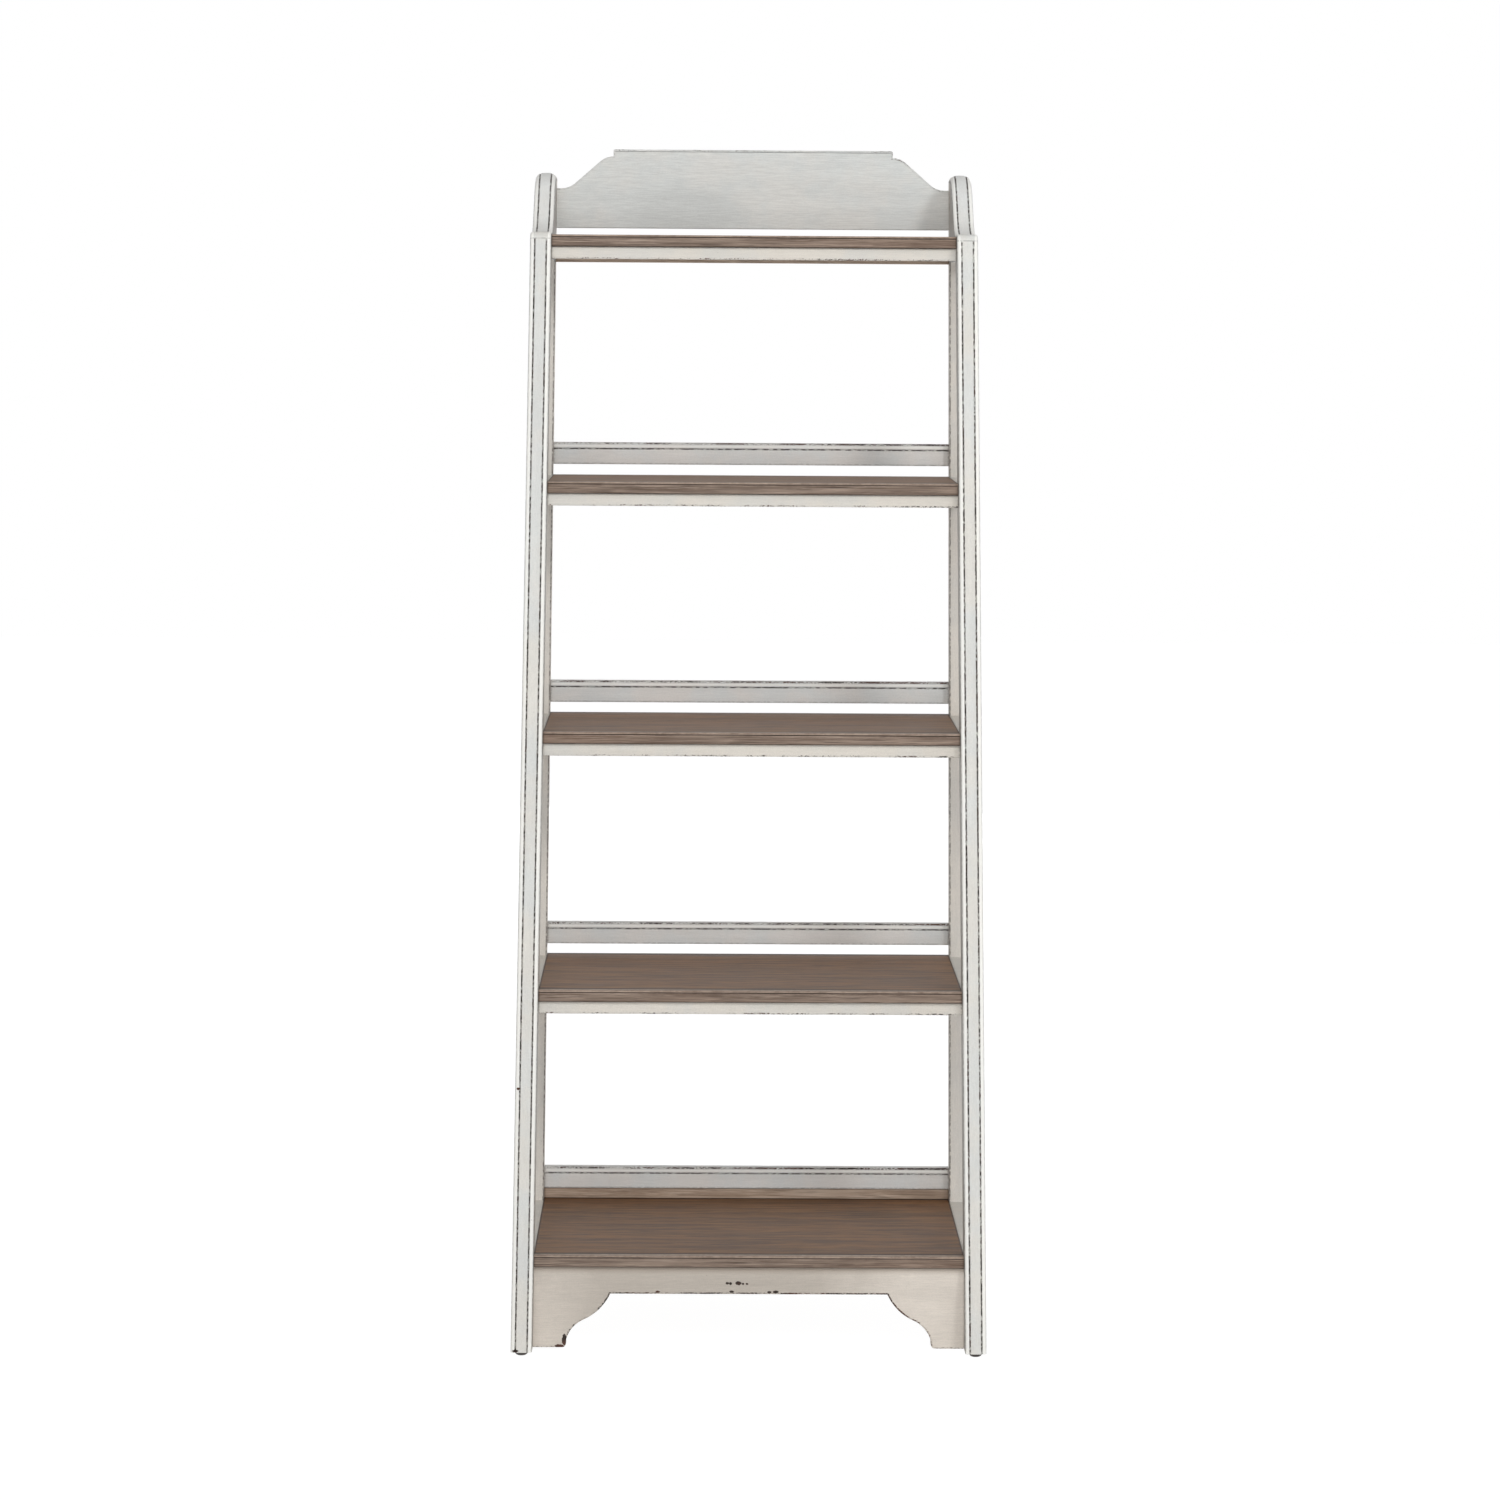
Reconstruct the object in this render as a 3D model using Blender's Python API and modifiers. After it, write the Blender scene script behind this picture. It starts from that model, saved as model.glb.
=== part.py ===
"""Ladder shelf: a five-shelf bookcase whose front stiles lean back to upright rear legs.

Metres, +Z up, front towards -Y, origin on the floor under the middle of the bounding box.
Two side frames carry five boards. Left and right pieces come from one function, with side = -1 or 1.
Outlines of side pieces are (y, z) pairs, and those of the crest and the apron are (x, z) pairs.
"""

import math

import bmesh
import bpy
from mathutils import Matrix, Vector

# Driving sizes
BASE_WIDTH = 0.762
DEPTH = 0.483
SIDE_TAPER = 0.0113  # how far each side comes in for every metre of height
FRONT_LEAN = 0.133  # how far the front stiles go back for every metre of height
GAP = 0.0003  # between pieces that touch

# Side frames
STILE_WIDTH = 0.034
STILE_DEPTH = 0.050
LEG_DEPTH = 0.036
SIDE_RAIL_THICKNESS = 0.025
BEAD_RADIUS = 0.005
GROOVE_INSET = 0.0065  # from a stile's side face to the groove
GROOVE_WIDTH = 0.0020
GROOVE_DEPTH = 0.0015

# Ear panels, at the top of the side frames
LEDGE_RISE = 0.004  # the stile's top above the top shelf
LEDGE_RADIUS = 0.012
EAR_RISE = 0.104  # the leg's top above the top shelf
EAR_STEEPNESS = 0.30

# Shelves, from the bottom up
FIRST_SHELF_TOP = 0.158
SHELF_SPACING = (0.421, 0.411, 0.400, 0.396)
BOARD_THICKNESS = 0.019
BOARD_SETBACK = 0.010  # nosing behind the stile's front
BOARD_BACK_INSET = 0.006
NOSING_DEPTH = 0.016
NOSING_RADIUS = 0.0035
NOSING_STEP = 0.001
OVERHANG = 0.006  # nosing in front of the rail below it
RAIL_THICKNESS = 0.020
FRONT_RAIL_HEIGHT = 0.020
REAR_RAIL_HEIGHT = 0.0235
BASE_RAIL_HEIGHT = 0.044  # of the bottom shelf's side and rear rails

# Gallery rails and the crest, between the legs
BACK_THICKNESS = 0.018
GALLERY_GAP = 0.0178  # from a board to the rail above it
GALLERY_HEIGHT = 0.0365
GALLERY_BEAD = 0.0095  # from the rail's top to its groove
GALLERY_RADIUS = 0.004
BASE_STRIP_THICKNESS = 0.012
CREST_GAP = 0.014
CREST_HEIGHT = 0.130
CREST_END_HEIGHT = 0.0655
CREST_END_FLAT = 0.008
CREST_SHOULDER = 0.094  # from a leg to the step in the crest's top
CREST_STEP = 0.0115
CREST_CORNER = 0.003
CREST_STEEPNESS = 0.16

# Apron. Both points are given from a foot's inner corner: towards the middle, and up.
FOOT_WIDTH = 0.047
FOOT_CORNER = 0.006
ANKLE = (0.0065, 0.012)
BRACKET = (0.0335, 0.045)
ARCH_CORNER = 0.0775
ARCH_HEIGHT = 0.0882
ANKLE_TURN = math.radians(49)
ARCH_TURN = math.radians(42)
GLUE_BLOCK = 0.040

# Floor glides and their inserts
FRONT_GLIDE_SETBACK = 0.014  # from the stile's front to the glide's centre
GLIDE_RADIUS = 0.010
GLIDE_HEIGHT = 0.006
GLIDE_RIM = 0.003
GLIDE_FLAT_RADIUS = 0.005
STEM_RADIUS = 0.004
STEM_LENGTH = 0.020
INSERT_WALL = 0.0015
INSERT_LENGTH = 0.022
INSERT_HOLE_DEPTH = 0.030

# Dowels between the front rails and the stiles
DOWEL_RADIUS = 0.004
DOWEL_REACH = 0.015  # into each of the two pieces

ARC_STEPS = 6
ROUND_SEGMENTS = 16
SHARP_ANGLE = math.radians(35)
SIDES = {"left": -1, "right": 1}

# Values that follow from the sizes above
FRONT = -DEPTH / 2
BACK = DEPTH / 2
FRAME_BOTTOM = GLIDE_HEIGHT + GAP
SHELF_TOPS = [FIRST_SHELF_TOP + sum(SHELF_SPACING[:i]) for i in range(len(SHELF_SPACING) + 1)]
TOP_SHELF = SHELF_TOPS[-1]
LEDGE = TOP_SHELF + LEDGE_RISE
LEG_TOP = TOP_SHELF + EAR_RISE
LEG_FRONT = BACK - LEG_DEPTH
BACK_FACE = BACK - BACK_THICKNESS  # front face of the gallery rails and the crest

parts = None
cutters = None
materials = {}


def stile_front(z):
    return FRONT + FRONT_LEAN * (z - FRAME_BOTTOM)


def stile_back(z):
    return stile_front(z) + STILE_DEPTH


def outer_half(z):
    return BASE_WIDTH / 2 - SIDE_TAPER * (z - FRAME_BOTTOM)


def inner_half(z):
    return outer_half(z) - STILE_WIDTH


def board_front(shelf_top):
    return stile_front(shelf_top) + BOARD_SETBACK


# Scene and materials


def start_scene():
    global parts, cutters
    for obj in list(bpy.data.objects):
        bpy.data.objects.remove(obj, do_unlink=True)
    parts = bpy.data.collections.new("ladder_shelf")
    cutters = bpy.data.collections.new("cutters")
    for collection in (parts, cutters):
        bpy.context.scene.collection.children.link(collection)
    cutters.hide_render = True


def make_material(name, colour, roughness, metallic):
    material = bpy.data.materials.new(name)
    material.use_nodes = True
    shader = material.node_tree.nodes["Principled BSDF"]
    shader.inputs["Base Color"].default_value = (*colour, 1)
    shader.inputs["Roughness"].default_value = roughness
    shader.inputs["Metallic"].default_value = metallic
    materials[name] = material


def make_materials():
    make_material("antique_white", (0.69, 0.67, 0.63), 0.50, 0.0)
    make_material("shelf_wood", (0.19, 0.13, 0.09), 0.45, 0.0)
    make_material("bare_wood", (0.55, 0.40, 0.25), 0.70, 0.0)
    make_material("glide_plastic", (0.05, 0.045, 0.04), 0.45, 0.0)
    make_material("insert_steel", (0.60, 0.60, 0.62), 0.35, 1.0)


# Geometry helpers


def arc_between(start, end, turn, steps=ARC_STEPS):
    """Points from start to end, both included, on the circle that turns left by this angle."""
    start, end = Vector(start), Vector(end)
    chord = end - start
    to_centre = Vector((-chord.y, chord.x)) / (2 * math.tan(turn / 2))
    centre = (start + end) / 2 + to_centre
    spoke = start - centre
    return [centre + Matrix.Rotation(turn * i / steps, 2) @ spoke for i in range(steps + 1)]


def ogee(start, end, steepness):
    """An S from start up to end, level at both: a hollow arc, a straight, and a full arc of equal radii."""
    start, end = Vector(start), Vector(end)
    run, rise = abs(end.x - start.x), end.y - start.y
    way = math.copysign(1, end.x - start.x)
    chord = math.atan2(rise, run)
    slope = min(2 * chord, chord + steepness * (math.pi / 2 - chord))
    radius = (run * math.sin(slope) - rise * math.cos(slope)) / (1 - math.cos(slope)) / 2
    angles = [slope * i / ARC_STEPS for i in range(ARC_STEPS + 1)]
    arcs = [Vector((way * radius * math.sin(a), radius * (1 - math.cos(a)))) for a in angles]
    return [start + p for p in arcs] + [end - p for p in reversed(arcs)]


def inward_moves(path, start_edge, end_edge):
    """For each point of a path, its move when the path shifts one unit to its right.

    The ends slide along start_edge and end_edge, so that they stay on the piece's end faces.
    """
    path = [Vector(p) for p in path]
    normals = []
    for a, b in zip(path, path[1:]):
        along = (b - a).normalized()
        normals.append(Vector((along.y, -along.x)))
    moves = [Vector(start_edge) / Vector(start_edge).dot(normals[0])]
    for before, after in zip(normals, normals[1:]):
        moves.append((before + after) / (1 + before.dot(after)))
    moves.append(Vector(end_edge) / Vector(end_edge).dot(normals[-1]))
    return moves


def moulding():
    """The stiles' face from one side to the other: (distance from the side, depth below the face)."""
    half = []
    for i in range(4):
        angle = math.pi / 2 * i / 3
        half.append((BEAD_RADIUS * (1 - math.cos(angle)), BEAD_RADIUS * (1 - math.sin(angle))))
    half.append((GROOVE_INSET, 0))
    half.append((GROOVE_INSET + GROOVE_WIDTH / 2, GROOVE_DEPTH))
    half.append((GROOVE_INSET + GROOVE_WIDTH, 0))
    return half + [(STILE_WIDTH - u, depth) for u, depth in reversed(half)]


def add_object(name, bm, material, collection=None):
    mesh = bpy.data.meshes.new(name)
    bmesh.ops.recalc_face_normals(bm, faces=bm.faces)
    bm.to_mesh(mesh)
    bm.free()
    mesh.shade_smooth()
    mesh.set_sharp_from_angle(angle=SHARP_ANGLE)
    obj = bpy.data.objects.new(name, mesh)
    (collection or parts).objects.link(obj)
    if material:
        mesh.materials.append(materials[material])
    return obj


def add_skin(name, rings, material):
    """A closed solid through rings of 3-D points, all of one length, with a flat cap at each end."""
    bm = bmesh.new()
    rows = [[bm.verts.new(p) for p in ring] for ring in rings]
    for row, following in zip(rows, rows[1:]):
        for i in range(len(row)):
            bm.faces.new((row[i - 1], row[i], following[i], following[i - 1]))
    bm.faces.new(rows[0])
    bm.faces.new(rows[-1])
    return add_object(name, bm, material)


def add_side_piece(name, side, outline, near, far, material="antique_white"):
    """An outline in a side frame, between two distances from the frame's outer face."""
    rings = []
    for inset in (near, far):
        rings.append([(side * (outer_half(z) - inset), y, z) for y, z in outline])
    return add_skin(name, rings, material)


def add_moulded_piece(name, side, path, rest):
    """A side piece as thick as a stile, with the stile's moulding along path. rest closes its outline."""
    start_edge = (Vector(rest[-1]) - Vector(path[0])).normalized()
    end_edge = (Vector(rest[0]) - Vector(path[-1])).normalized()
    moves = inward_moves(path, start_edge, end_edge)
    rings = []
    for inset, depth in moulding():
        face = [Vector(p) + depth * move for p, move in zip(path, moves)]
        outline = [(p[0], p[1]) for p in face] + list(rest)
        rings.append([(side * (outer_half(z) - inset), y, z) for y, z in outline])
    return add_skin(name, rings, "antique_white")


def add_cross_piece(name, outline, material="antique_white"):
    """A (y, z) section that runs from one side frame to the other."""
    rings = []
    for side in SIDES.values():
        rings.append([(side * (inner_half(z) - GAP), y, z) for y, z in outline])
    return add_skin(name, rings, material)


def add_panel(name, half_outline, front, back):
    """A flat panel from the right half of its (x, z) outline, middle to middle, and that half's mirror."""
    outline = list(half_outline) + [(-x, z) for x, z in reversed(half_outline)]
    curve = bpy.data.curves.new(name, "CURVE")
    curve.dimensions = "2D"
    curve.fill_mode = "BOTH"
    curve.extrude = (back - front) / 2
    curve.materials.append(materials["antique_white"])
    spline = curve.splines.new("POLY")
    spline.points.add(len(outline) - 1)
    spline.use_cyclic_u = True
    for point, (x, z) in zip(spline.points, outline):
        point.co = (x, z, 0, 1)
    obj = bpy.data.objects.new(name, curve)
    parts.objects.link(obj)
    obj.location.y = (front + back) / 2
    obj.rotation_euler.x = math.pi / 2  # stands the outline up


def rectangle(front, back, bottom, top):
    return [(front, bottom), (back, bottom), (back, top), (front, top)]


def cylinder(bm, start, end, radius):
    start, end = Vector(start), Vector(end)
    turn = (end - start).to_track_quat("Z", "Y").to_matrix().to_4x4()
    bmesh.ops.create_cone(
        bm,
        cap_ends=True,
        segments=ROUND_SEGMENTS,
        radius1=radius,
        radius2=radius,
        depth=(end - start).length,
        matrix=Matrix.Translation((start + end) / 2) @ turn,
    )


def add_cutter(name, start, end, radius):
    bm = bmesh.new()
    cylinder(bm, start, end, radius)
    cutter = add_object(name, bm, None, cutters)
    cutter.hide_render = True
    cutter.display_type = "WIRE"
    return cutter


def cut(obj, cutter):
    modifier = obj.modifiers.new(cutter.name, "BOOLEAN")
    modifier.operation = "DIFFERENCE"
    modifier.object = cutter


def add_turned(name, profile, closed, location, material):
    """A round piece about the vertical through location, from a profile of (radius, z) points."""
    mesh = bpy.data.meshes.new(name)
    edges = [(i, i + 1) for i in range(len(profile) - 1)]
    if closed:
        edges.append((len(profile) - 1, 0))
    mesh.from_pydata([(r, 0, z) for r, z in profile], edges, [])
    mesh.materials.append(materials[material])
    obj = bpy.data.objects.new(name, mesh)
    parts.objects.link(obj)
    obj.location = location
    screw = obj.modifiers.new("Screw", "SCREW")
    screw.axis = "Z"
    screw.steps = ROUND_SEGMENTS
    screw.render_steps = ROUND_SEGMENTS
    screw.use_merge_vertices = True
    screw.merge_threshold = 0.0001
    screw.use_smooth_shade = True
    return obj


# Side frames


def add_front_stile(name, side):
    slope = math.atan(FRONT_LEAN)
    turn = math.pi / 2 - slope
    reach = LEDGE_RADIUS * math.tan(turn / 2)  # from the corner that the arc rounds to its ends
    corner = Vector((stile_front(LEDGE), LEDGE))
    below = corner - reach * Vector((math.sin(slope), math.cos(slope)))
    behind = corner + Vector((reach, 0))
    path = [Vector((stile_front(FRAME_BOTTOM), FRAME_BOTTOM))]
    path += arc_between(below, behind, -turn)
    path.append(Vector((stile_back(LEDGE), LEDGE)))
    rest = [(stile_back(FRAME_BOTTOM), FRAME_BOTTOM)]
    return add_moulded_piece(name, side, path, rest)


def add_back_leg(name, side):
    path = [(LEG_FRONT, LEG_TOP), (BACK, LEG_TOP)]
    rest = [(BACK, FRAME_BOTTOM), (LEG_FRONT, FRAME_BOTTOM)]
    return add_moulded_piece(name, side, path, rest)


def add_ear_panel(name, side):
    """The wide top rail of a side frame. Its upper edge sweeps from the stile's top to the leg's."""
    bottom = TOP_SHELF - BOARD_THICKNESS - FRONT_RAIL_HEIGHT
    path = ogee((stile_back(LEDGE) + GAP, LEDGE), (LEG_FRONT - GAP, LEG_TOP), EAR_STEEPNESS)
    rest = [(LEG_FRONT - GAP, bottom), (stile_back(bottom) + GAP, bottom)]
    return add_moulded_piece(name, side, path, rest)


def add_side_rail(name, side, top, height):
    bottom = top - height
    outline = [
        (stile_back(bottom) + GAP, bottom),
        (LEG_FRONT - GAP, bottom),
        (LEG_FRONT - GAP, top),
        (stile_back(top) + GAP, top),
    ]
    return add_side_piece(name, side, outline, STILE_WIDTH - SIDE_RAIL_THICKNESS, STILE_WIDTH)


# Shelves


def add_nosing(number, top):
    front = board_front(top)
    back = front + NOSING_DEPTH
    bottom = top - BOARD_THICKNESS
    round_front = front + NOSING_STEP
    lip = top - NOSING_RADIUS
    outline = [(back, bottom), (back, top)]
    outline += arc_between((round_front + NOSING_RADIUS, top), (round_front, lip), math.pi / 2, 3)
    outline += [(front, lip), (front, bottom)]
    add_cross_piece(f"shelf_nosing_{number}", outline, "shelf_wood")


def add_shelf(number, top):
    bottom = top - BOARD_THICKNESS
    board = rectangle(board_front(top) + NOSING_DEPTH + GAP, BACK - BOARD_BACK_INSET, bottom, top)
    add_cross_piece(f"shelf_board_{number}", board, "shelf_wood")
    add_nosing(number, top)
    rear = BACK - BOARD_BACK_INSET
    rail_bottom = bottom - (BASE_RAIL_HEIGHT if number == 1 else REAR_RAIL_HEIGHT)
    outline = rectangle(rear - RAIL_THICKNESS, rear, rail_bottom, bottom - GAP)
    add_cross_piece(f"rear_rail_{number}", outline)


def add_front_rail(number, top):
    front = board_front(top) + OVERHANG
    board_bottom = top - BOARD_THICKNESS
    rail_bottom = board_bottom - FRONT_RAIL_HEIGHT
    outline = rectangle(front, front + RAIL_THICKNESS, rail_bottom, board_bottom - GAP)
    return add_cross_piece(f"front_rail_{number}", outline)


def add_gallery_rail(number, shelf_top):
    bottom = shelf_top + GALLERY_GAP
    top = bottom + GALLERY_HEIGHT
    groove = top - GALLERY_BEAD
    outline = [
        (BACK, bottom),
        (BACK_FACE, bottom),
        (BACK_FACE, groove - GROOVE_WIDTH),
        (BACK_FACE + GROOVE_DEPTH, groove - GROOVE_WIDTH / 2),
        (BACK_FACE, groove),
    ]
    outline += arc_between(
        (BACK_FACE, top - GALLERY_RADIUS), (BACK_FACE + GALLERY_RADIUS, top), -math.pi / 2, 3
    )
    outline.append((BACK, top))
    add_cross_piece(f"gallery_rail_{number}", outline)


def add_base_strip():
    """Closes the gap between the bottom board and its gallery rail."""
    bottom = FIRST_SHELF_TOP + GAP
    top = FIRST_SHELF_TOP + GALLERY_GAP - GAP
    outline = rectangle(BACK_FACE, BACK_FACE + BASE_STRIP_THICKNESS, bottom, top)
    add_cross_piece("base_back_strip", outline, "shelf_wood")


def add_crest():
    bottom = TOP_SHELF + CREST_GAP
    top = bottom + CREST_HEIGHT
    end_top = bottom + CREST_END_HEIGHT
    step = inner_half(end_top) - CREST_SHOULDER
    end = inner_half(end_top) - GAP
    outline = [(inner_half(bottom) - GAP, bottom), (end, end_top)]
    outline += ogee((end - CREST_END_FLAT, end_top), (step, top - CREST_STEP), CREST_STEEPNESS)
    outline += arc_between((step, top - CREST_CORNER), (step - CREST_CORNER, top), math.pi / 2, 3)
    add_panel("crest_panel", outline, BACK_FACE, BACK)


def add_apron():
    front = board_front(FIRST_SHELF_TOP) + OVERHANG
    top = FIRST_SHELF_TOP - BOARD_THICKNESS - GAP
    foot = inner_half(FRAME_BOTTOM) - FOOT_WIDTH
    ankle = (foot - ANKLE[0], FRAME_BOTTOM + ANKLE[1])
    bracket = (foot - BRACKET[0], FRAME_BOTTOM + BRACKET[1])
    arch = (foot - ARCH_CORNER, FRAME_BOTTOM + ARCH_HEIGHT)
    heel = (foot - ANKLE[0] + FOOT_CORNER, FRAME_BOTTOM)
    outline = arc_between(arch, bracket, ARCH_TURN)
    outline += arc_between(bracket, ankle, -ANKLE_TURN)[1:]
    outline += arc_between((ankle[0], FRAME_BOTTOM + FOOT_CORNER), heel, math.pi / 2, 3)
    outline += [(inner_half(FRAME_BOTTOM) - GAP, FRAME_BOTTOM), (inner_half(top) - GAP, top)]
    add_panel("apron", outline, front, front + RAIL_THICKNESS)


def add_glue_block(name, side):
    """A three-cornered block in the angle between the apron and a side frame."""
    apron_back = board_front(FIRST_SHELF_TOP) + OVERHANG + RAIL_THICKNESS
    top = FIRST_SHELF_TOP - BOARD_THICKNESS - GAP
    bottom = top - GLUE_BLOCK
    end = inner_half(top) - GAP
    front = apron_back + GAP
    corners = [(end, front), (end - GLUE_BLOCK, front), (end, front + GLUE_BLOCK)]
    rings = [[(side * x, y, z) for x, y in corners] for z in (bottom, top)]
    add_skin(name, rings, "bare_wood")


# Hardware


def glide_places():
    places = {}
    for label, side in SIDES.items():
        x = side * (outer_half(FRAME_BOTTOM) - STILE_WIDTH / 2)
        places[f"front_{label}"] = (x, FRONT + FRONT_GLIDE_SETBACK)
        places[f"back_{label}"] = (x, BACK - LEG_DEPTH / 2)
    return places


def add_glide(place, x, y):
    dome = arc_between((GLIDE_RADIUS, GLIDE_RIM), (GLIDE_FLAT_RADIUS, 0), -math.pi / 3, 4)
    profile = [(0, GLIDE_HEIGHT + STEM_LENGTH), (STEM_RADIUS, GLIDE_HEIGHT + STEM_LENGTH)]
    profile += [(STEM_RADIUS, GLIDE_HEIGHT), (GLIDE_RADIUS, GLIDE_HEIGHT)]
    profile += [(p[0], p[1]) for p in dome]
    profile.append((0, 0))
    add_turned(f"glide_{place}", profile, False, (x, y, 0), "glide_plastic")


def add_insert(place, x, y):
    inner = STEM_RADIUS + GAP
    outer = inner + INSERT_WALL
    profile = [(outer, INSERT_LENGTH), (outer, 0), (inner, 0), (inner, INSERT_LENGTH)]
    add_turned(f"insert_{place}", profile, True, (x, y, FRAME_BOTTOM), "insert_steel")


def add_floor_hardware(frames):
    hole_radius = STEM_RADIUS + GAP + INSERT_WALL + GAP
    for place, (x, y) in glide_places().items():
        add_glide(place, x, y)
        add_insert(place, x, y)
        top = FRAME_BOTTOM + INSERT_HOLE_DEPTH
        cutter = add_cutter(f"cut_insert_{place}", (x, y, 0), (x, y, top), hole_radius)
        cut(frames[place], cutter)


def add_dowel(number, label, side, shelf_top, rail, stile):
    y = board_front(shelf_top) + OVERHANG + RAIL_THICKNESS / 2
    z = shelf_top - BOARD_THICKNESS - FRONT_RAIL_HEIGHT / 2
    joint = inner_half(z)
    hole_ends = [(side * (joint + way * DOWEL_REACH), y, z) for way in (-1, 1)]
    cutter = add_cutter(f"cut_dowel_{number}_{label}", *hole_ends, DOWEL_RADIUS + GAP)
    cut(rail, cutter)
    cut(stile, cutter)
    bm = bmesh.new()
    ends = [(side * (joint + way * (DOWEL_REACH - GAP)), y, z) for way in (-1, 1)]
    cylinder(bm, *ends, DOWEL_RADIUS)
    add_object(f"dowel_{number}_{label}", bm, "bare_wood")


def main():
    start_scene()
    make_materials()
    frames = {}
    for label, side in SIDES.items():
        frames[f"front_{label}"] = add_front_stile(f"{label}_front_stile", side)
        frames[f"back_{label}"] = add_back_leg(f"{label}_back_leg", side)
        add_ear_panel(f"{label}_ear_panel", side)
        for number, top in enumerate(SHELF_TOPS[:-1], 1):
            below_board = BASE_RAIL_HEIGHT if number == 1 else FRONT_RAIL_HEIGHT
            name = f"{label}_side_rail_{number}"
            add_side_rail(name, side, top, BOARD_THICKNESS + below_board)
        add_glue_block(f"{label}_glue_block", side)
    for number, top in enumerate(SHELF_TOPS, 1):
        add_shelf(number, top)
        if number < len(SHELF_TOPS):
            add_gallery_rail(number, top)
        if number == 1:
            continue
        rail = add_front_rail(number, top)
        for label, side in SIDES.items():
            add_dowel(number, label, side, top, rail, frames[f"front_{label}"])
    add_base_strip()
    add_apron()
    add_crest()
    add_floor_hardware(frames)


main()
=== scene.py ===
"""Looks for the ladder shelf: a worn frame in antique-white paint, with stained wood shelves."""

import math
from collections import namedtuple

import bmesh
import bpy
from mathutils import Matrix, Vector, noise


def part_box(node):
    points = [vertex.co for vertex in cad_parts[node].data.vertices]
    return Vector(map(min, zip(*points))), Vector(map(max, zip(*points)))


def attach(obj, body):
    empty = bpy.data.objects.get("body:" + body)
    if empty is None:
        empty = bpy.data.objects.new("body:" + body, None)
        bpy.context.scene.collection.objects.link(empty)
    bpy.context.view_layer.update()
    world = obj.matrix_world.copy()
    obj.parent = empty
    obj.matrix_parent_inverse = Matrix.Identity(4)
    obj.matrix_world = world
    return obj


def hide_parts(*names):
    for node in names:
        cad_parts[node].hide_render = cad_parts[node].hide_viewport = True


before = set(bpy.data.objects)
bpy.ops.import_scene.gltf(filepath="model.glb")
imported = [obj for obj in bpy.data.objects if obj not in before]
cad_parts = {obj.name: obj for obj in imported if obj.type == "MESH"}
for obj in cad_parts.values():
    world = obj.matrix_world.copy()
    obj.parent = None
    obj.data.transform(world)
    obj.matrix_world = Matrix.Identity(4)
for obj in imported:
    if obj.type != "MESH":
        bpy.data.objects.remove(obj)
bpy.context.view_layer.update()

GAP = 0.0003  # between pieces that touch
SIDES = {"left": -1, "right": 1}
BODY = "frame"

# Camera
CAMERA_PLACE = (-0.0781, -6.8415, 1.6819)
CAMERA_PITCH = -0.1063
CAMERA_YAW = 0.0112
CAMERA_ROLL = 0.0065
CAMERA_LENS = 101.12

# Moulded edge of the stiles, the ear panels and the legs' tops
BEAD_RADIUS = 0.0050
BEAD_ROWS = 7
BEAD_REACH = 0.002  # how far a bead's marks fade out over the side face
GROOVE_INSET = 0.0065
GROOVE_WIDTH = 0.0023
GROOVE_DEPTH = 0.0015
GROOVE_SHOULDER = 0.0006  # the worn strip on each side of the groove, with a painted highlight on the bead's side
GROOVE_FADE = 0.0016  # from the groove to where the rubbing ends
LEDGE_RADIUS = 0.012
CAP_LINE = 0.0012  # half the width of the dark line where the grooves end, below the ledge
CROWN = 0.030  # how far down from their tops the ears and legs are rounded at their sides
CROWN_REACH = 0.013  # how far in from each side
CROWN_DROP = 0.006  # how much lower the side is at the very top
EAR_STEEPNESS = 0.30
BACK_ROUNDING = 0.002  # of the edges of these pieces' "round" sides
BACK_REACH = 0.003  # how far the marks there fade out over the side face
# how much painted shade darkens the inner side faces of the stiles and of the ears
STILE_INNER_SHADE = 0.55
EAR_INNER_SHADE = 0.40

# Shelves and rails
BOARD_ROUNDING = 0.0010  # of a board's back edges
FINE_ROUNDING = 0.0005  # of a board's front edge at the nosing, and of the base strip's top
BOARD_JOINT_SHADE = 0.0055  # how far the joint's dark line fades over the board
BOARD_BACK_LINE = 0.0085  # from the board's back edge to the middle of the dark line there
BOARD_BACK_SHADE = 0.0070
NOSING_JOINT_ROUNDING = 0.0004
NOSING_JOINT_SHADE = 0.0028
NOSING_RUB_HIGHLIGHT = 0.0085  # from the nosing's front to the middle of the worn band on its top, which has a painted highlight
NOSING_RUB_HIGHLIGHT_REACH = 0.0044
NOSING_STEP = 0.0004  # how far the bead is behind the face below it
NOSING_BEAD = 0.0022
NOSING_GROOVE = (0.0031, 0.0047)  # top and bottom, below the nosing's top
NOSING_GROOVE_DEPTH = 0.0013
NOSING_LIP = 0.0003  # rounding below the groove
NOSING_FOOT = 0.0008  # rounding of the bottom edge
RAIL_ROUNDING = 0.0012
RAIL_WEAR = 0.85  # along a front rail's lower edges
RAIL_WEAR_REACH = 0.003
GALLERY_ROUNDING = 0.0026
GALLERY_GROOVE = 0.0105  # its middle, below the rail's top
GALLERY_HIGHLIGHT = 0.006  # the painted highlight's middle, below the rail's top

# Crest and apron
PANEL_ROUNDING = 0.0012
PANEL_WEAR_REACH = 0.0026
CREST_CORNER = 0.003
CREST_STEEPNESS = 0.16
CREST_END_FLAT = 0.008
CREST_SHOULDER = 0.094
CREST_STEP = 0.0115
CREST_END_HEIGHT = 0.0655
FOOT_WIDTH = 0.047
FOOT_CORNER = 0.006
ANKLE = (0.0065, 0.012)
BRACKET = (0.0335, 0.045)
ARCH_CORNER = 0.0775
ARCH_HEIGHT = 0.0882
ANKLE_TURN = math.radians(49)
ARCH_TURN = math.radians(42)

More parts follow.
